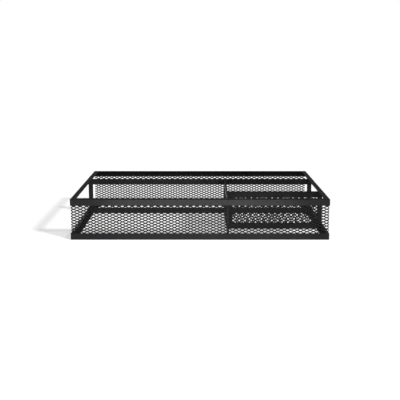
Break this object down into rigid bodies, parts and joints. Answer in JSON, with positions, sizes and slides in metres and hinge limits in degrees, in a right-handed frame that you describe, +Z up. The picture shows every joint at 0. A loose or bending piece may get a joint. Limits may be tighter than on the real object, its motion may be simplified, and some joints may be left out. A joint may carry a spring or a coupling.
{
  "type": "drawer organizer insert",
  "caption": "Open-bottomed drawer organizer insert of black coated steel: angle rims, expanded metal walls and framed dividers that part it into compartments.",
  "frame": {"origin": "middle of the footprint, on the surface the insert stands on", "axes": "+X to the right along the long side, +Y to the back along the depth, +Z up; the front wall is at -Y"},
  "size_m": [0.38, 0.29, 0.061],
  "materials": {
    "frame_coat": "satin black powder coat",
    "mesh_coat": "satin black powder coat on expanded steel"
  },
  "bodies": {
    "root": {"bottom_front_rail": "frame_coat", "bottom_back_rail": "frame_coat", "bottom_left_rail": "frame_coat", "bottom_right_rail": "frame_coat", "top_front_rail": "frame_coat", "top_back_rail": "frame_coat", "top_left_rail": "frame_coat", "top_right_rail": "frame_coat", "front_mesh": "mesh_coat", "back_mesh": "mesh_coat", "cross_frame_bottom_channel": "frame_coat", "cross_frame_top_channel": "frame_coat", "cross_frame_left_post": "frame_coat", "cross_frame_right_post": "frame_coat", "long_divider_bottom_channel": "frame_coat", "long_divider_top_channel": "frame_coat", "long_divider_front_post": "frame_coat", "long_divider_back_post": "frame_coat", "long_divider_mesh": "mesh_coat", "short_divider_bottom_channel": "frame_coat", "short_divider_top_channel": "frame_coat", "short_divider_left_post": "frame_coat", "short_divider_right_post": "frame_coat", "short_divider_mesh": "mesh_coat"}
  },
  "joints": []
}
